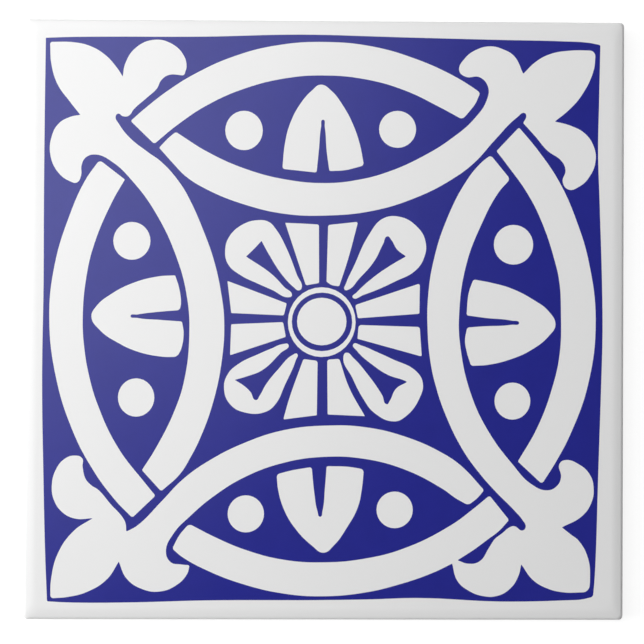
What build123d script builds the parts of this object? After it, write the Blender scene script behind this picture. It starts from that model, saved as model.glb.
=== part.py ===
"""Square glazed wall tile with a cushion edge and a keyed back.

The tile is one fired piece. It lies on its back: the bedding face is on Z = 0, the glazed face looks
up along +Z, and the top of its printed pattern points along +Y. The origin is the centre of the back.
All sizes are in millimetres.
"""

import os
from math import atan, pi, tan

from build123d import *

# Outline of the tile, seen from the front
FACE_SIZE = 152.4
THICKNESS = 6.4
CORNER_RADIUS = 1.1

# Cushion edge: the glazed face falls gently over its outer band, then rolls over the rim
FALL_WIDTH = 2.6
FALL_DEPTH = 0.4
FALL_CORNER_RADIUS = 3.0
BROW_REACH = 0.6
RIM_RADIUS = 1.0

# Lower edge: the sides draw in towards the back, so that the tile leaves its press die
DRAFT_HEIGHT = 2.8
DRAFT_INSET = 0.5
ARRIS_RADIUS = 0.3

# Keyed back: shallow square pockets between ribs, for the bed of adhesive to grip
KEY_COUNT = 6
KEY_RIB = 3.2
KEY_MARGIN = 8.0
KEY_DEPTH = 0.6
KEY_CORNER_RADIUS = 2.4
KEY_WALL_ANGLE = 30.0

shoulder_height = THICKNESS - FALL_DEPTH
back_size = FACE_SIZE - 2 * DRAFT_INSET
back_corner_radius = max(CORNER_RADIUS - DRAFT_INSET, 2 * ARRIS_RADIUS)
brow_size = FACE_SIZE - 2 * FALL_WIDTH
fall_angle = atan(FALL_DEPTH / FALL_WIDTH)
rim_reach = RIM_RADIUS * tan((pi / 2 - fall_angle) / 2)
brow_reach = min(BROW_REACH, 0.95 * (FALL_WIDTH - rim_reach))
brow_radius = brow_reach / tan(fall_angle / 2)

key_pitch = (back_size - 2 * KEY_MARGIN + KEY_RIB) / KEY_COUNT
key_size = key_pitch - KEY_RIB

with BuildPart() as tile:
    # Drafted lower edge, from the back up to the upright band
    with BuildSketch(Plane.XY):
        RectangleRounded(back_size, back_size, back_corner_radius)
    with BuildSketch(Plane.XY.offset(DRAFT_HEIGHT)):
        RectangleRounded(FACE_SIZE, FACE_SIZE, CORNER_RADIUS)
    loft(ruled=True)

    # Upright band, which stands against the grout joint
    with BuildSketch(Plane.XY.offset(DRAFT_HEIGHT)):
        RectangleRounded(FACE_SIZE, FACE_SIZE, CORNER_RADIUS)
    extrude(amount=shoulder_height - DRAFT_HEIGHT)

    # Falling band round the glazed face
    with BuildSketch(Plane.XY.offset(shoulder_height)):
        RectangleRounded(FACE_SIZE, FACE_SIZE, CORNER_RADIUS)
    with BuildSketch(Plane.XY.offset(THICKNESS)):
        RectangleRounded(brow_size, brow_size, FALL_CORNER_RADIUS)
    loft(ruled=True)

    # The rim rolls over, and the flat face eases into its fall
    rim = tile.edges().filter_by_position(Axis.Z, shoulder_height - 0.01, shoulder_height + 0.01)
    fillet(rim, radius=RIM_RADIUS)
    brow = tile.faces().sort_by(Axis.Z)[-1].edges()
    fillet(brow, radius=brow_radius)

    # Sharp edge of the back, broken by handling before the firing
    fillet(tile.faces().sort_by(Axis.Z)[0].edges(), radius=ARRIS_RADIUS)

    # Key pockets, narrower towards their floors
    with BuildSketch(Plane.XY):
        with GridLocations(key_pitch, key_pitch, KEY_COUNT, KEY_COUNT):
            RectangleRounded(key_size, key_size, KEY_CORNER_RADIUS)
    extrude(amount=KEY_DEPTH, taper=KEY_WALL_ANGLE, mode=Mode.SUBTRACT)

tile.part.label = "tile"

os.makedirs("parts", exist_ok=True)
export_step(tile.part, "parts/tile.step")
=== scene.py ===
"""A square wall tile, lying on its back on a pale floor and seen from straight above.

The tile is one fired piece. White glaze covers its face and runs down its sides, and a blue ground
printed on the glaze leaves an interlaced strapwork pattern in white. The frame is that of the CAD
model: the tile's back is on Z = 0, its face looks up along +Z, and the top of the pattern is at +Y.
"""

from math import atan, cos, hypot, pi, sin, tan

import bmesh
import bpy
from mathutils import Matrix, Vector


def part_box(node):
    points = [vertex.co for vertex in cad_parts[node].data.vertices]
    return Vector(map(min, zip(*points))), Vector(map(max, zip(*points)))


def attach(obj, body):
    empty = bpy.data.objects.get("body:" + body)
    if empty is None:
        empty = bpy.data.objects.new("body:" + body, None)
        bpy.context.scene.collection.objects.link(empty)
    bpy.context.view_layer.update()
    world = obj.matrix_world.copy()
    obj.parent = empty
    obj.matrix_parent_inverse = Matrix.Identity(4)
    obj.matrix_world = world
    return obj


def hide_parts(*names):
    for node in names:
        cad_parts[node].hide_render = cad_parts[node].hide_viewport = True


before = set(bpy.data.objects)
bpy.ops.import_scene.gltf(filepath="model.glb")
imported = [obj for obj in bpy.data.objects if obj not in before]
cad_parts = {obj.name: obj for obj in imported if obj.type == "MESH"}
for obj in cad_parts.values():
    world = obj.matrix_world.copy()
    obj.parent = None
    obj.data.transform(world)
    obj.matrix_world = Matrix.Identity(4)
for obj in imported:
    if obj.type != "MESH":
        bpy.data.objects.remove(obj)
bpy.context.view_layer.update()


# Tile. One slab of white earthenware, pressed in a die, which left its sides drawn in towards a back
# with key pockets. It was fired, dipped face down in white glaze and fired again, and then a blue
# ground was printed on the face. All of it is worked out in millimetres and brought to metres at the end.

METRES = 0.001
tile_low, tile_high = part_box("tile")
half_side = tile_high[0] / METRES
thickness = tile_high[2] / METRES

# The blue ground is one even coat, and the white shapes are the glaze left bare, called reserves. The
# stencil was cut by hand, so that no two of its four quarters are quite alike. Places are from the
# centre of the face: (x, y) is a point on a smooth line, and (x, y, r) is a corner of radius r.

GROUND = [
    (-71.0, 71.25, 0.1), (-66.0, 71.45), (-58.0, 71.6), (-30.0, 71.8), (-10.0, 72.4), (0.0, 72.4),
    (10.0, 72.15), (20.0, 71.9), (32.0, 71.65), (45.0, 71.4), (60.0, 71.15), (67.0, 70.8),
    (69.9, 70.25, 0.4), (69.6, 55.0), (69.4, 43.0), (69.8, 31.0), (70.6, 5.0), (70.65, -5.0),
    (70.4, -15.0), (69.65, -40.0), (69.1, -60.0), (68.8, -66.0), (68.45, -70.15, 0.7),
    (65.5, -70.8), (62.0, -71.0), (45.0, -71.35), (24.0, -70.5), (12.0, -70.85), (0.0, -71.05),
    (-30.0, -71.2), (-50.0, -71.75), (-65.0, -71.75), (-70.05, -71.5, 0.3), (-70.55, -60.0),
    (-71.1, -40.0), (-71.55, -15.0), (-71.3, 8.0), (-71.3, 30.0), (-71.2, 50.0),
]

# Straps of the interlace that stand alone, each a bent band with cut ends
STRAPS = [
    # Left, outer
    [
        (-57.3, 40.35, 1.0), (-50.85, 35.4, 0.2), (-53.95, 29.9), (-58.6, 18.75), (-60.5, 10.5),
        (-61.35, 0.0), (-60.9, -7.5), (-59.65, -14.5), (-57.55, -21.5), (-52.25, -32.6),
        (-45.4, -41.5), (-42.75, -44.7, 0.5), (-48.6, -50.3, 0.6), (-52.9, -45.9), (-59.15, -37.3),
        (-64.1, -27.5), (-68.0, -15.0), (-69.8, 0.0), (-68.55, 13.5), (-64.7, 26.5),
        (-60.75, 35.35),
    ],
    # Top, outer
    [
        (-43.45, 44.45, 0.6), (-49.45, 50.25, 0.5), (-45.9, 53.4), (-39.9, 58.1), (-32.95, 62.45),
        (-22.95, 66.95), (-12.0, 69.75), (0.0, 70.6), (12.0, 69.5), (23.5, 66.2), (32.0, 62.45),
        (37.5, 59.2), (39.3, 57.9, 0.6), (38.1, 55.2), (36.6, 53.2), (34.8, 51.1, 0.9),
        (29.0, 54.2), (20.0, 58.45), (10.0, 61.2), (-1.0, 62.1), (-10.0, 61.35), (-20.0, 58.85),
        (-29.95, 54.45), (-37.95, 49.05),
    ],
    # Right, outer
    [
        (49.2, 49.15, 0.4), (43.5, 43.1, 0.3), (46.05, 39.8), (51.35, 32.45), (54.85, 25.7),
        (58.5, 15.0), (59.6, 10.0), (60.05, 2.0), (59.75, -8.5), (57.9, -17.0), (54.15, -27.1),
        (49.2, -35.8, 0.3), (55.35, -41.5, 0.8), (59.0, -35.65), (62.6, -28.7), (67.05, -16.0),
        (68.9, 0.0), (67.1, 15.0), (64.15, 24.9), (59.65, 35.1), (53.9, 43.55),
    ],
]

# Lilies in the corners, each in one with the inner strap that runs out of its foot
LILIES = [
    # Top left, with the left strap
    [
        (-69.95, 70.25, 0.7), (-64.0, 70.15), (-60.0, 69.3), (-56.1, 67.1), (-53.05, 63.85),
        (-51.5, 61.5, 0.1), (-50.85, 64.9), (-48.15, 68.9), (-43.5, 70.9), (-39.0, 69.85),
        (-36.1, 67.0), (-35.35, 64.2), (-35.9, 61.9, 0.5), (-39.75, 62.0), (-41.7, 60.7),
        (-42.85, 58.5), (-45.1, 56.4), (-48.6, 53.3), (-50.0, 51.55), (-51.4, 51.45),
        (-52.6, 52.1), (-53.25, 51.4), (-52.35, 49.4), (-49.6, 45.95), (-45.0, 42.35),
        (-41.6, 39.9), (-36.7, 34.3), (-34.2, 30.0), (-30.8, 22.3), (-28.2, 15.0), (-26.3, 6.5),
        (-25.55, 0.0), (-26.05, -10.0), (-28.4, -21.5), (-31.8, -30.8), (-33.5, -34.2),
        (-36.65, -39.3), (-41.3, -43.6, 0.6), (-46.2, -38.25, 0.3), (-42.9, -33.0), (-37.95, -23.0),
        (-35.6, -15.5), (-34.35, -4.0), (-34.95, 5.5), (-37.65, 15.7), (-43.2, 27.3),
        (-48.65, 34.7), (-54.05, 39.85), (-58.25, 41.7), (-60.75, 40.95), (-61.8, 39.0),
        (-61.95, 36.3), (-62.95, 34.6), (-64.75, 34.9), (-67.75, 37.15), (-69.7, 41.5),
        (-69.4, 46.25), (-67.65, 49.5), (-64.75, 51.2), (-62.2, 51.75, 0.1), (-64.85, 55.1),
        (-68.0, 59.5), (-69.55, 64.5),
    ],
    # Top right, with the top strap
    [
        (68.8, 68.85, 1.7), (68.25, 64.0), (65.05, 57.25), (61.75, 53.5), (58.3, 50.7, 0.3),
        (60.6, 50.2), (62.5, 49.6), (65.95, 47.75), (68.25, 44.45), (68.75, 40.75), (67.25, 36.75),
        (64.5, 34.1), (61.9, 33.4), (60.4, 35.3), (61.1, 38.3), (60.2, 40.5), (56.4, 43.35),
        (53.4, 46.85), (50.3, 50.25, 0.2), (51.05, 52.1), (50.6, 52.85), (48.75, 51.75),
        (43.0, 45.85), (37.95, 40.2), (32.0, 35.75), (23.0, 31.15), (12.0, 27.75), (0.0, 26.5),
        (-10.0, 26.85), (-20.0, 29.05), (-30.0, 32.95), (-35.5, 36.35), (-38.6, 39.5),
        (-42.2, 43.5, 0.3), (-39.95, 45.9), (-38.0, 47.55, 0.5), (-30.0, 42.55), (-20.0, 38.15),
        (-10.0, 35.6), (0.0, 34.75), (8.0, 35.55), (16.0, 37.7), (25.0, 41.8), (31.9, 46.15),
        (38.0, 51.5), (41.1, 56.4), (41.3, 59.4), (39.2, 61.85), (35.5, 62.0), (33.95, 63.5),
        (35.45, 66.75), (38.5, 68.95), (41.75, 69.75), (45.0, 69.05), (47.95, 67.25),
        (50.25, 62.8, 0.2), (53.4, 65.85), (57.05, 67.85), (62.5, 68.8),
    ],
    # Bottom right, with the right strap and, joined on by the tip of a petal, the outer bottom strap
    [
        (42.0, 42.1, 0.9), (47.0, 36.0, 0.9), (44.1, 32.65), (39.75, 24.5), (35.85, 14.0),
        (34.1, 1.0), (34.5, -7.0), (37.3, -19.0), (41.9, -28.55), (47.95, -36.65), (52.45, -41.4),
        (56.75, -43.1), (59.2, -41.95), (60.2, -39.7), (59.75, -36.5), (61.0, -35.45),
        (64.85, -36.55), (67.6, -39.2), (68.5, -42.5), (67.95, -46.2), (65.6, -49.6),
        (60.45, -52.5, 0.2), (62.6, -54.2), (64.75, -55.9), (67.2, -60.6), (67.65, -66.0),
        (67.45, -69.0, 1.7), (61.0, -69.0), (56.5, -67.9), (53.05, -65.8), (50.15, -61.9, 0.15),
        (49.4, -64.9), (47.35, -68.05), (43.95, -69.95), (40.3, -69.95), (36.85, -68.65),
        (33.95, -66.2), (32.55, -61.75, 0.1), (28.0, -63.95), (20.0, -66.8), (10.0, -69.2),
        (-1.0, -70.1), (-10.0, -69.45), (-20.0, -67.2), (-29.95, -63.45), (-36.2, -60.0),
        (-38.45, -58.1, 0.6), (-36.65, -54.7), (-34.25, -51.8, 0.9), (-28.0, -55.0),
        (-20.0, -58.35), (-10.0, -60.9), (0.0, -61.5), (10.0, -60.6), (20.0, -58.05),
        (32.1, -52.1), (38.15, -47.65), (42.0, -44.45, 0.6), (47.0, -50.65, 0.5),
        (44.55, -53.35), (41.8, -55.45), (37.8, -58.4), (33.9, -60.9, 0.25), (36.5, -61.75),
        (39.4, -61.25), (42.0, -57.6), (43.4, -55.5), (45.3, -54.0), (47.1, -52.55),
        (48.25, -52.2), (50.5, -53.3), (51.25, -52.35), (50.5, -50.75), (48.45, -48.35),
        (43.45, -43.35), (39.5, -38.9), (35.0, -32.6), (30.4, -23.1), (28.2, -16.5),
        (26.95, -11.0), (26.1, -2.0), (26.3, 7.0), (27.55, 15.0), (30.65, 25.05), (36.15, 35.9),
        (39.75, 40.25),
    ],
    # Bottom left, with the bottom strap
    [
        (-69.25, -70.75, 0.9), (-69.05, -66.0), (-67.35, -59.35), (-63.35, -53.65),
        (-58.6, -50.45, 0.1), (-63.0, -50.55), (-66.15, -49.05), (-68.4, -45.9), (-68.95, -42.0),
        (-67.9, -38.05), (-65.7, -35.4), (-63.25, -34.6), (-61.35, -35.25), (-61.2, -37.45),
        (-60.4, -40.55), (-58.95, -42.15), (-57.35, -43.15), (-54.1, -46.85), (-50.85, -50.5),
        (-50.25, -51.9), (-50.1, -53.85, 0.35), (-47.4, -52.35), (-41.4, -46.35), (-36.0, -40.7),
        (-29.95, -36.25), (-20.0, -31.15), (-10.0, -27.95), (1.0, -26.8), (10.0, -27.15),
        (20.0, -29.4), (30.0, -33.7), (34.9, -37.05), (40.65, -43.1, 0.6), (38.9, -45.1),
        (36.6, -46.95, 0.9), (33.4, -45.15), (30.0, -42.75), (20.0, -37.75), (10.0, -35.2),
        (0.0, -34.75), (-10.0, -36.2), (-20.0, -39.85), (-28.0, -44.8), (-34.0, -49.9),
        (-38.15, -54.3), (-40.05, -58.9), (-38.8, -61.55), (-36.25, -62.1), (-34.0, -62.3, 0.5),
        (-34.6, -64.4), (-37.15, -67.2), (-41.5, -68.95), (-46.0, -68.35), (-50.0, -65.65),
        (-51.95, -61.4, 0.1), (-54.9, -65.85), (-60.0, -69.1), (-65.0, -70.4),
    ],
]

# Cleft leaves, one in each lens between an outer and an inner strap
LEAVES = [
    # Top
    [
        (-1.25, 59.75), (1.45, 58.2), (4.4, 54.45), (6.85, 49.95), (8.7, 44.7), (9.8, 39.25, 0.8),
        (5.0, 38.05), (1.0, 37.8, 0.4), (0.3, 43.0), (-0.2, 49.0), (-0.65, 50.85), (-1.15, 49.0),
        (-1.65, 43.5), (-2.25, 37.4, 0.5), (-7.0, 37.9), (-10.95, 38.3, 0.7), (-10.3, 44.75),
        (-9.05, 49.75), (-6.5, 54.75), (-3.5, 58.25),
    ],
    # Left
    [
        (-59.15, 0.6), (-57.95, 3.2), (-54.0, 6.45), (-48.45, 9.25), (-42.0, 10.9),
        (-38.0, 11.15, 0.3), (-37.0, 8.0), (-36.5, 4.0), (-36.75, 2.35, 0.7), (-42.0, 1.9),
        (-47.5, 1.2), (-49.25, 0.8), (-47.5, 0.3), (-42.0, -0.15), (-36.2, -0.55, 0.4),
        (-35.8, -3.5), (-36.4, -7.5), (-37.35, -9.55, 1.0), (-41.0, -9.5), (-47.5, -8.2),
        (-52.4, -6.0), (-56.9, -2.9),
    ],
    # Right
    [
        (58.65, -1.0), (56.9, 2.4), (52.95, 5.35), (47.45, 8.15), (42.5, 9.55), (37.7, 10.45, 0.6),
        (36.55, 7.0), (36.0, 1.3, 0.5), (41.0, 0.65), (47.5, 0.0), (49.4, -0.6), (47.5, -1.05),
        (40.0, -1.5), (36.15, -1.8, 0.6), (35.65, -5.0), (36.1, -8.0), (37.2, -11.55, 0.6),
        (41.5, -11.25), (47.5, -9.75), (52.5, -7.45), (57.0, -3.85),
    ],
    # Bottom
    [
        (-0.1, -59.05), (-2.95, -57.35), (-7.9, -52.15), (-10.35, -47.7), (-11.7, -43.0),
        (-12.1, -39.2, 0.8), (-8.0, -38.15), (-3.2, -37.35, 0.6), (-2.5, -44.0), (-1.7, -48.5),
        (-1.0, -49.95), (-0.4, -48.4), (0.2, -42.5), (0.6, -37.1, 0.45), (6.0, -37.25),
        (10.05, -37.85, 0.9), (9.6, -42.5), (8.55, -47.5), (5.85, -52.6), (2.55, -57.15),
    ],
]

# Rays of the rosette, clockwise from the one left of the top
RAYS = [
    [(-10.15, 24.6, 0.15), (-5.0, 24.4), (-1.6, 24.2, 0.4), (-1.5, 9.35, 0.3), (-4.85, 8.75, 0.4)],
    [(0.75, 24.1, 0.5), (8.35, 24.95, 0.6), (5.85, 15.5), (3.6, 8.5, 0.4), (1.6, 8.9), (0.4, 9.7, 0.2)],
    [(24.1, 9.35, 0.6), (24.0, 1.65, 0.3), (8.4, 0.45, 0.3), (7.7, 3.8, 0.5)],
    [(8.6, -1.25, 0.7), (24.1, -1.7, 0.6), (24.65, -9.2, 0.4), (8.3, -4.75, 0.2)],
    [(0.65, -10.1, 0.6), (3.7, -9.85, 0.5), (6.25, -17.2), (10.25, -24.4, 0.15), (0.8, -24.0, 0.3)],
    [(-5.4, -9.95, 0.4), (-1.8, -10.4, 0.6), (-1.95, -24.2, 0.15), (-10.45, -25.3, 0.4), (-8.95, -20.0)],
    [(-10.6, -0.6, 0.4), (-9.9, -4.35, 0.3), (-24.0, -9.05, 0.3), (-23.75, -1.2, 0.3)],
    [(-24.75, 9.8, 0.3), (-17.0, 6.9), (-9.7, 4.15, 0.3), (-10.4, 1.1, 0.4), (-23.75, 1.65, 0.2)],
]

# Loops of the rosette, each bent round a blue drop that opens towards the disc
LOOPS = [
    # Top left
    [
        (-5.95, 8.0), (-7.15, 11.45), (-9.95, 18.45), (-12.6, 23.1), (-14.4, 24.85), (-17.0, 25.25),
        (-20.9, 24.15), (-24.4, 20.9), (-25.35, 17.5), (-24.65, 14.1), (-21.4, 11.25),
        (-17.4, 9.3), (-13.4, 7.55), (-9.25, 5.7), (-8.4, 6.15), (-10.4, 8.35), (-13.4, 11.45),
        (-20.05, 16.0, 0.15), (-17.55, 18.45), (-16.15, 20.0, 0.15), (-14.3, 16.65),
        (-10.75, 11.2), (-7.8, 8.15), (-6.7, 7.45),
    ],
    # Top right
    [
        (5.0, 7.7), (5.35, 9.3), (7.2, 13.4), (11.15, 21.7), (14.6, 25.75), (18.75, 26.3),
        (23.2, 23.9), (25.5, 20.0), (25.0, 15.5), (22.7, 12.4), (18.4, 10.1), (9.95, 6.45),
        (7.05, 5.75), (8.0, 6.95), (12.35, 10.9), (16.8, 14.0), (20.55, 16.2, 0.3), (18.3, 17.95),
        (16.8, 20.4), (15.8, 21.3), (14.75, 19.4), (12.45, 14.9), (8.55, 10.35), (6.15, 7.8),
    ],
    # Bottom right
    [
        (7.25, -6.15), (8.2, -7.85), (12.4, -11.55), (16.2, -13.95), (20.0, -15.2),
        (21.0, -15.65, 0.3), (18.15, -17.4), (16.5, -20.6), (15.85, -21.35), (14.6, -19.0),
        (10.5, -13.25), (7.3, -9.65), (5.5, -8.3), (4.75, -9.3), (7.05, -14.7), (9.75, -19.85),
        (12.65, -23.55), (17.75, -25.7), (20.6, -24.45), (24.2, -19.6), (24.95, -16.0),
        (23.4, -13.1), (17.0, -9.8), (13.0, -8.0), (9.4, -6.5),
    ],
    # Bottom left
    [
        (-7.0, -8.65), (-8.1, -8.9), (-11.85, -12.65), (-14.85, -16.4), (-16.45, -19.25),
        (-17.4, -20.4), (-18.8, -18.35), (-20.45, -16.8), (-22.8, -15.3, 0.1), (-19.6, -14.35),
        (-15.9, -12.85), (-11.15, -8.4), (-9.2, -6.35), (-10.7, -6.2), (-13.5, -7.3),
        (-16.5, -8.6), (-22.0, -11.35), (-24.6, -13.9), (-25.5, -17.5), (-23.9, -21.55),
        (-20.0, -23.6), (-15.0, -23.4), (-12.5, -21.5), (-10.05, -16.5), (-7.35, -10.3),
    ],
]

# Round shapes: (centre x, centre y, half width, half height)
DOTS = [
    (-20.7, 48.0, 4.75, 5.0),
    (18.3, 48.5, 4.7, 4.7),
    (-49.0, 19.85, 4.7, 4.8),
    (-47.75, -19.85, 4.6, 4.85),
    (47.9, 19.3, 5.0, 5.05),
    (47.75, -20.45, 4.55, 4.7),
    (-19.85, -49.25, 4.6, 4.7),
    (17.9, -48.15, 4.6, 4.65),
]
ROSETTE_RINGS = [
    (-0.78, -0.57, 8.6, 8.85),
    (-0.72, -0.5, 7.67, 7.43),
    (-0.78, -0.42, 6.27, 6.03),
]

# Cushion edge, sides and back, as the CAD model has them
FALL_WIDTH = 2.6
FALL_DEPTH = 0.4
BROW_REACH = 0.6
RIM_RADIUS = 1.0
DRAFT_HEIGHT = 2.8
DRAFT_INSET = 0.5
ARRIS_RADIUS = 0.3
KEY_COUNT = 6
KEY_RIB = 3.2
KEY_MARGIN = 8.0
KEY_DEPTH = 0.6
KEY_CORNER_RADIUS = 2.4
KEY_WALL_ANGLE = pi / 6

# Radius of the tile's corner in plan: where the flat face ends, on the upright sides and at the back
FLAT_CORNER = 2.4
SIDE_CORNER = 1.1
BACK_CORNER = 0.6

# Steps in each arc of the edge's section, the flat strip left outside the print, and how near two
# points of the print and the bare glaze lie to be one
ARC_STEPS = 6
SEAM_WIDTH = 0.02
WELD = 0.0005


def add_outline(curve, points):
    """Add one closed outline to a flat curve, with a smooth knot at each point and two at a corner."""
    roundness = 0.55
    places = [Vector((point[0], point[1], 0.0)) for point in points]
    knots = []
    for i, point in enumerate(points):
        if len(point) == 2:
            knots.append((places[i], "AUTO", "AUTO", places[i]))
            continue
        ahead = places[(i + 1) % len(points)]
        for neighbour, left, right in ((places[i - 1], "VECTOR", "FREE"), (ahead, "FREE", "VECTOR")):
            place = places[i] + point[2] * (neighbour - places[i]).normalized()
            knots.append((place, left, right, place.lerp(places[i], roundness)))

    spline = curve.splines.new("BEZIER")
    spline.bezier_points.add(len(knots) - 1)
    spline.use_cyclic_u = True
    for knot, (place, left, right, handle) in zip(spline.bezier_points, knots):
        knot.handle_left_type = left
        knot.handle_right_type = right
        knot.co = place
    for knot, (place, left, right, handle) in zip(spline.bezier_points, knots):
        if left == "FREE":
            knot.handle_left = handle
        if right == "FREE":
            knot.handle_right = handle


def oval(centre_x, centre_y, half_width, half_height):
    """Outline of a round shape."""
    ends = ((0.0, half_height), (half_width, 0.0), (0.0, -half_height), (-half_width, 0.0))
    return [(centre_x + x, centre_y + y) for x, y in ends]


def cut_sheet(outlines):
    """A flat mesh bounded by outlines, where each one inside another turns from hole to island."""
    curve = bpy.data.curves.new("cut_sheet", "CURVE")
    curve.dimensions = "2D"
    curve.fill_mode = "BOTH"
    curve.resolution_u = 8
    for points in outlines:
        add_outline(curve, points)
    holder = bpy.data.objects.new("cut_sheet", curve)
    sheet = bpy.data.meshes.new_from_object(holder)
    bpy.data.objects.remove(holder)
    bpy.data.curves.remove(curve)
    return sheet


def grow_ring(edges, old, new, centre=(0.0, 0.0)):
    """Extrude the edge loop of a rounded square, and return the new loop.

    The old loop is (half width, corner radius). The new one is (half width, corner radius, height, run),
    where run is the way down the section from the flat of the face, by which the map is unrolled.
    """
    centre = Vector((*centre, 0.0))
    straight = old[0] - old[1]
    grown = bmesh.ops.extrude_edge_only(shell, edges=edges)["geom"]
    for vert in (item for item in grown if isinstance(item, bmesh.types.BMVert)):
        place = (vert.co - centre) * Vector((1.0, 1.0, 0.0))
        core = Vector([max(-straight, min(straight, value)) for value in place])
        outward = (place - core).normalized()
        vert.co = centre + core * ((new[0] - new[1]) / straight) + outward * new[1]
        vert.co.z = new[2]
        vert[unrolled] = core * (flat_straight / straight) + outward * (FLAT_CORNER + new[3])
    for face in (item for item in grown if isinstance(item, bmesh.types.BMFace)):
        face.smooth = True
    return [item for item in grown if isinstance(item, bmesh.types.BMEdge) and item.is_boundary]


# Flat of the face, in two colours that share their edges
flat_half = half_side - FALL_WIDTH - BROW_REACH
flat_straight = flat_half - FLAT_CORNER
corners = ((1, 1), (1, -1), (-1, -1), (-1, 1))
face_edge = [(x * flat_half, y * flat_half, FLAT_CORNER) for x, y in corners]
printed = [GROUND, *STRAPS, *LILIES, *LEAVES, *RAYS, *LOOPS]
printed += [oval(*shape) for shape in DOTS + ROSETTE_RINGS]

GLAZE, PRINT = 0, 1
shell = bmesh.new()
shell.from_mesh(cut_sheet(printed))
for face in shell.faces:
    face.material_index = PRINT
shell.from_mesh(cut_sheet([face_edge, *printed]))
bmesh.ops.remove_doubles(shell, verts=shell.verts, dist=WELD)
bmesh.ops.translate(shell, verts=shell.verts, vec=(0.0, 0.0, thickness))
unrolled = shell.verts.layers.float_vector.new("unrolled")
for vert in shell.verts:
    vert[unrolled] = vert.co
for face in shell.faces:
    face.smooth = False

# Section of the edge, from the flat face over the brow, the fall and the rim, down the side and
# round the arris to the back: (distance from the centre, height)
fall_angle = atan(FALL_DEPTH / FALL_WIDTH)
brow_radius = BROW_REACH / tan(fall_angle / 2)
rim_reach = RIM_RADIUS * tan((pi / 2 - fall_angle) / 2)
rim_height = thickness - FALL_DEPTH - rim_reach
draft_angle = atan(DRAFT_INSET / DRAFT_HEIGHT)
arris_in = DRAFT_INSET + ARRIS_RADIUS * (1 - sin(draft_angle)) / cos(draft_angle)

section = [(flat_half, thickness), (flat_half + SEAM_WIDTH, thickness)]
for step in range(1, ARC_STEPS + 1):
    angle = fall_angle * step / ARC_STEPS
    section.append((flat_half + brow_radius * sin(angle), thickness - brow_radius * (1 - cos(angle))))
for step in range(ARC_STEPS + 1):
    angle = fall_angle + (pi / 2 - fall_angle) * step / ARC_STEPS
    section.append((half_side - RIM_RADIUS * (1 - sin(angle)), rim_height + RIM_RADIUS * cos(angle)))
section.append((half_side, DRAFT_HEIGHT))
for step in range(ARC_STEPS + 1):
    angle = draft_angle + (pi / 2 - draft_angle) * step / ARC_STEPS
    section.append((half_side - arris_in + ARRIS_RADIUS * cos(angle), ARRIS_RADIUS * (1 - sin(angle))))


def corner_radius(distance, height):
    """Radius of the tile's corner in plan, which tightens down the fall and again towards the back."""
    if height >= rim_height:
        share = (distance - flat_half) / (half_side - flat_half)
        return FLAT_CORNER + (SIDE_CORNER - FLAT_CORNER) * share
    share = max(0.0, 1 - height / DRAFT_HEIGHT)
    return SIDE_CORNER + (BACK_CORNER - SIDE_CORNER) * share - (half_side - DRAFT_INSET * share - distance)


edge_loop = [edge for edge in shell.edges if edge.is_boundary]
size = (flat_half, FLAT_CORNER)
run = 0.0
for before, after in zip(section, section[1:]):
    run += hypot(after[0] - before[0], after[1] - before[1])
    radius = corner_radius(*after)
    edge_loop = grow_ring(edge_loop, size, (after[0], radius, after[1], run))
    size = (after[0], radius)
front_faces = list(shell.faces)

# Back, with its key pockets
key_pitch = (2 * (half_side - DRAFT_INSET - KEY_MARGIN) + KEY_RIB) / KEY_COUNT
mouth_half = (key_pitch - KEY_RIB) / 2
key_inset = KEY_DEPTH * tan(KEY_WALL_ANGLE)
floor_size = (mouth_half - key_inset, KEY_CORNER_RADIUS - key_inset)
rows = [(index - (KEY_COUNT - 1) / 2) * key_pitch for index in range(KEY_COUNT)]
for centre in ((x, y) for x in rows for y in rows):
    place = Matrix.Translation((*centre, KEY_DEPTH))
    quad = bmesh.ops.create_grid(shell, x_segments=1, y_segments=1, size=floor_size[0], matrix=place)
    bmesh.ops.bevel(
        shell,
        geom=quad["verts"],
        offset=floor_size[1],
        offset_type="OFFSET",
        affect="VERTICES",
        segments=5,
        profile=0.5,
        material=-1,
    )
    floor_edges = [edge for edge in shell.edges if edge.is_boundary and edge not in edge_loop]
    edge_loop += grow_ring(floor_edges, floor_size, (mouth_half, KEY_CORNER_RADIUS, 0.0, 0.0), centre)
bmesh.ops.triangle_fill(shell, use_beauty=True, edges=edge_loop, normal=(0.0, 0.0, -1.0))
bmesh.ops.recalc_face_normals(shell, faces=shell.faces)

# Map for the finish: the print, the glaze unrolled down the sides and the back, each in its own square
bake_map = shell.loops.layers.uv.new("OFBake")
MAP_SPAN = 340.0
known_front = set(front_faces)
for face in shell.faces:
    in_front = face in known_front
    column = 0.75 if in_front and face.material_index == GLAZE else 0.25
    row = 0.75 if in_front else 0.25
    for loop in face.loops:
        flat = loop.vert[unrolled] if in_front else loop.vert.co
        loop[bake_map].uv = (column + flat.x / MAP_SPAN, row + flat.y / MAP_SPAN)

bmesh.ops.scale(shell, verts=shell.verts, vec=(METRES, METRES, METRES))
tile_mesh = bpy.data.meshes.new("glazed_tile")
shell.to_mesh(tile_mesh)
shell.free()
tile = bpy.data.objects.new("glazed_tile", tile_mesh)
bpy.context.collection.objects.link(tile)


def add_node(tree, kind, settings=None, **inputs):
    """Add a shader node; an input is given a plain value, or the socket that feeds it."""
    node = tree.nodes.new("ShaderNode" + kind)
    for name, value in (settings or {}).items():
        setattr(node, name, value)
    for name, value in inputs.items():
        socket = node.inputs[int(name[1:])] if name[1:].isdigit() else node.inputs[name.replace("_", " ")]
        if isinstance(value, bpy.types.NodeSocket):
            tree.links.new(value, socket)
        else:
            socket.default_value = value
    return node


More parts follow.
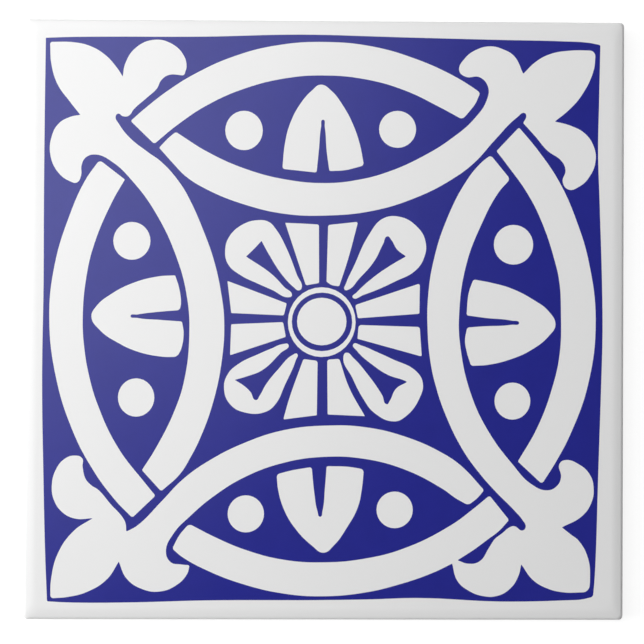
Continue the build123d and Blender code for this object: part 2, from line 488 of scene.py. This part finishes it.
def start_material(name):
    """A new material with its surface shader and the coordinates that its patterns lie in."""
    material = bpy.data.materials.new(name)
    material.use_nodes = True
    tree = material.node_tree
    place = add_node(tree, "TexCoord").outputs["Object"]
    return material, tree, tree.nodes["Principled BSDF"], place


# The skin of a fired glaze, in the bare white and in the print alike: a fine orange peel over slow
# swells, a gloss that varies a little from spot to spot, and faint clouds in the colour
GLOSS_ROUGHNESS = 0.18
GLAZE_IOR = 1.5
PEEL_DEPTH = 0.03 * METRES

skin =bpy.data.node_groups.new("glaze_skin", "ShaderNodeTree")
skin.interface.new_socket("Place", in_out="INPUT", socket_type="NodeSocketVector")
skin.interface.new_socket("Gloss roughness", in_out="INPUT", socket_type="NodeSocketFloat")
skin.interface.new_socket("Cloud depth", in_out="INPUT", socket_type="NodeSocketFloat")
skin.interface.new_socket("Roughness", in_out="OUTPUT", socket_type="NodeSocketFloat")
skin.interface.new_socket("Cloud", in_out="OUTPUT", socket_type="NodeSocketFloat")
skin.interface.new_socket("Height", in_out="OUTPUT", socket_type="NodeSocketFloat")
given = skin.nodes.new("NodeGroupInput").outputs
result = skin.nodes.new("NodeGroupOutput").inputs
peel = add_node(skin, "TexNoise", Vector=given["Place"], Scale=300.0, Detail=2.0)
swell = add_node(skin, "TexNoise", Vector=given["Place"], Scale=55.0, Detail=1.0)
cloud = add_node(skin, "TexNoise", Vector=given["Place"], Scale=38.0, Detail=5.0, Roughness=0.62)
peel_part = add_node(skin, "Math", {"operation": "MULTIPLY"}, _0=peel.outputs[0], _1=0.12)
height = add_node(skin, "Math", {"operation": "ADD"}, _0=peel_part.outputs[0], _1=swell.outputs[0])
skin.links.new(height.outputs[0], result["Height"])
spots = add_node(
    skin, "MapRange", Value=cloud.outputs[0], From_Min=0.3, From_Max=0.7, To_Min=0.85, To_Max=1.15
)
spotted = add_node(skin, "Math", {"operation": "MULTIPLY"}, _0=spots.outputs[0], _1=given["Gloss roughness"])
skin.links.new(spotted.outputs[0], result["Roughness"])
haze = add_node(skin, "MapRange", Value=cloud.outputs[0], From_Min=0.35, From_Max=0.75)
faded = add_node(skin, "Math", {"operation": "MULTIPLY"}, _0=haze.outputs[0], _1=given["Cloud depth"])
kept = add_node(skin, "Math", {"operation": "SUBTRACT"}, _0=1.0, _1=faded.outputs[0])
skin.links.new(kept.outputs[0], result["Cloud"])

# White glaze, which stops in a wavering line low on the sides and leaves the fired clay bare below
GLAZE_LINE = 2.5 * METRES
GLAZE_WAVER = 1.3 * METRES
GLAZE_LIP = 0.12 * METRES
GRAIN_DEPTH = 0.06 * METRES
WHITE = (0.8, 0.8, 0.8, 1.0)
CLAY_PALE = (0.78, 0.74, 0.66, 1.0)
CLAY_DARK = (0.7, 0.64, 0.54, 1.0)

white_glaze, tree, surface, place = start_material("white_glaze_on_clay")
fired = add_node(
    tree, "Group", {"node_tree": skin}, Place=place, Gloss_roughness=GLOSS_ROUGHNESS, Cloud_depth=0.012
)
depth = add_node(tree, "SeparateXYZ", Vector=place).outputs["Z"]
waver = add_node(tree, "TexNoise", Vector=place, Scale=110.0, Detail=2.0)
shift = add_node(tree, "Math", {"operation": "MULTIPLY_ADD"}, _0=waver.outputs[0], _1=GLAZE_WAVER, _2=depth)
line = GLAZE_LINE + GLAZE_WAVER / 2
glazed = add_node(
    tree,
    "MapRange",
    {"interpolation_type": "SMOOTHSTEP"},
    Value=shift.outputs[0],
    From_Min=line - GLAZE_LIP,
    From_Max=line + GLAZE_LIP,
).outputs[0]
grain = add_node(tree, "TexNoise", Vector=place, Scale=900.0, Detail=6.0, Roughness=0.7)
clay = add_node(tree, "Mix", {"data_type": "RGBA"}, _0=grain.outputs[0], _6=CLAY_DARK, _7=CLAY_PALE)
white = add_node(
    tree, "Mix", {"data_type": "RGBA", "blend_type": "MULTIPLY"}, _0=1.0, _6=WHITE, _7=fired.outputs["Cloud"]
)
coat = add_node(tree, "Mix", {"data_type": "RGBA"}, _0=glazed, _6=clay.outputs[2], _7=white.outputs[2])
tree.links.new(coat.outputs[2], surface.inputs["Base Color"])
rough = add_node(tree, "Mix", _0=glazed, _2=0.85, _3=fired.outputs["Roughness"])
tree.links.new(rough.outputs[0], surface.inputs["Roughness"])
glaze_bump = add_node(tree, "Bump", Strength=0.6, Distance=PEEL_DEPTH, Height=fired.outputs["Height"])
clay_bump = add_node(
    tree, "Bump", Strength=0.8, Distance=GRAIN_DEPTH, Height=grain.outputs[0], Normal=glaze_bump.outputs[0]
)
relief = add_node(
    tree, "Mix", {"data_type": "VECTOR"}, _0=glazed, _4=clay_bump.outputs[0], _5=glaze_bump.outputs[0]
)
tree.links.new(relief.outputs[1], surface.inputs["Normal"])
surface.inputs["IOR"].default_value = GLAZE_IOR
tile_mesh.materials.append(white_glaze)

# Blue print, which takes the gloss of the glaze over it
BLUE_DEEP = (0.0125, 0.0155, 0.225, 1.0)
BLUE_LIGHT = (0.0165, 0.0195, 0.265, 1.0)

blue_print, tree, surface, place = start_material("blue_print")
fired = add_node(
    tree, "Group", {"node_tree": skin}, Place=place, Gloss_roughness=GLOSS_ROUGHNESS, Cloud_depth=0.04
)
coverage = add_node(tree, "TexNoise", Vector=place, Scale=140.0, Detail=4.0, Roughness=0.6)
blue = add_node(tree, "Mix", {"data_type": "RGBA"}, _0=coverage.outputs[0], _6=BLUE_DEEP, _7=BLUE_LIGHT)
shaded = add_node(
    tree,
    "Mix",
    {"data_type": "RGBA", "blend_type": "MULTIPLY"},
    _0=1.0,
    _6=blue.outputs[2],
    _7=fired.outputs["Cloud"],
)
tree.links.new(shaded.outputs[2], surface.inputs["Base Color"])
tree.links.new(fired.outputs["Roughness"], surface.inputs["Roughness"])
print_bump = add_node(tree, "Bump", Strength=0.6, Distance=PEEL_DEPTH, Height=fired.outputs["Height"])
tree.links.new(print_bump.outputs[0], surface.inputs["Normal"])
surface.inputs["IOR"].default_value = GLAZE_IOR
tile_mesh.materials.append(blue_print)

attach(tile, "root")
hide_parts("tile")


# Floor. A plain white sheet that the tile lies on. It looks white to the camera and in reflections,
# and darkens only in the tile's shadow.

FLOOR_HALF = 3.0
PAPER = (0.8, 0.8, 0.8, 1.0)
PAPER_GLOW = 0.84
SHADOW_DEPTH = 0.3

floor_mesh = bpy.data.meshes.new("floor")
sheet = bmesh.new()
bmesh.ops.create_grid(sheet, x_segments=1, y_segments=1, size=FLOOR_HALF)
sheet.to_mesh(floor_mesh)
sheet.free()
floor = bpy.data.objects.new("floor", floor_mesh)
bpy.context.collection.objects.link(floor)

white_paper, tree, surface, place = start_material("white_paper")
fibres = add_node(tree, "TexNoise", Vector=place, Scale=400.0, Detail=4.0)
fibre_bump = add_node(tree, "Bump", Strength=0.2, Distance=0.0001, Height=fibres.outputs[0])
surface.inputs["Base Color"].default_value = PAPER
surface.inputs["Roughness"].default_value = 0.9
tree.links.new(fibre_bump.outputs[0], surface.inputs["Normal"])
shadowed = add_node(tree, "BsdfDiffuse", Color=(SHADOW_DEPTH, SHADOW_DEPTH, SHADOW_DEPTH, 1.0))
bright = add_node(tree, "Emission", Color=(1.0, 1.0, 1.0, 1.0), Strength=PAPER_GLOW)
backdrop = add_node(tree, "AddShader", _0=shadowed.outputs[0], _1=bright.outputs[0])
ray = add_node(tree, "LightPath").outputs
seen = add_node(tree, "Math", {"operation": "MAXIMUM"}, _0=ray["Is Camera Ray"], _1=ray["Is Glossy Ray"])
shown = add_node(tree, "Math", {"operation": "MAXIMUM"}, _0=seen.outputs[0], _1=ray["Is Transmission Ray"])
paper = add_node(tree, "MixShader", _0=shown.outputs[0], _1=surface.outputs[0], _2=backdrop.outputs[0])
tree.links.new(paper.outputs[0], tree.nodes["Material Output"].inputs["Surface"])
floor_mesh.materials.append(white_paper)


# Light. A wide softbox hangs over the top left corner of the tile, bright in its middle and fading to
# its rim, so that its reflection lies as a soft veil over that side. A plain lamp further out adds
# light that the face doesn't mirror, and the room is even and dim.


def hang_lamp(name, place, side, power):
    """A square area lamp, aimed at the middle of the tile."""
    data = bpy.data.lights.new(name, "AREA")
    data.shape = "SQUARE"
    data.size = side
    data.energy = power
    lamp = bpy.data.objects.new(name, data)
    lamp.location = place
    lamp.rotation_euler = (-lamp.location).to_track_quat("-Z", "Y").to_euler()
    bpy.context.collection.objects.link(lamp)
    return data


SOFTBOX_SIDE = 1.4
SOFTBOX_CORE = 0.12
softbox = hang_lamp("softbox", place=(-0.35, 0.25, 0.62), side=SOFTBOX_SIDE, power=16.0)
softbox.use_nodes = True
tree = softbox.node_tree
across = add_node(tree, "NewGeometry").outputs["Parametric"]
middle = add_node(tree, "VectorMath", {"operation": "SUBTRACT"}, _0=across, _1=(0.5, 0.5, 0.0))
off = add_node(tree, "VectorMath", {"operation": "LENGTH"}, _0=middle.outputs[0])
fade = add_node(
    tree,
    "MapRange",
    {"interpolation_type": "SMOOTHSTEP"},
    Value=off.outputs["Value"],
    From_Min=SOFTBOX_CORE / SOFTBOX_SIDE,
    From_Max=0.5,
    To_Min=1.0,
    To_Max=0.0,
)
tree.links.new(fade.outputs[0], tree.nodes["Emission"].inputs["Strength"])

hang_lamp("side_lamp", place=(-0.8, 0.05, 0.6), side=0.4, power=6.2)

ROOM_LIGHT = 0.12
room =bpy.data.worlds.new("room")
room.use_nodes = True
room.node_tree.nodes["Background"].inputs["Color"].default_value = (1.0, 1.0, 1.0, 1.0)
room.node_tree.nodes["Background"].inputs["Strength"].default_value = ROOM_LIGHT
bpy.context.scene.world = room


# Camera. It looks straight down on the tile, a touch to the left of and below its centre.

camera_data = bpy.data.cameras.new("camera")
camera_data.lens = 85.0
camera_data.sensor_width = 36.0
camera_data.clip_start = 0.01
camera = bpy.data.objects.new("camera", camera_data)
camera.location = (-0.00545, -0.00236, 0.39232)
camera.rotation_euler = (0.004674, -0.012277, 0.003858)
bpy.context.collection.objects.link(camera)
bpy.context.scene.camera = camera
bpy.context.scene.view_settings.view_transform = "Standard"
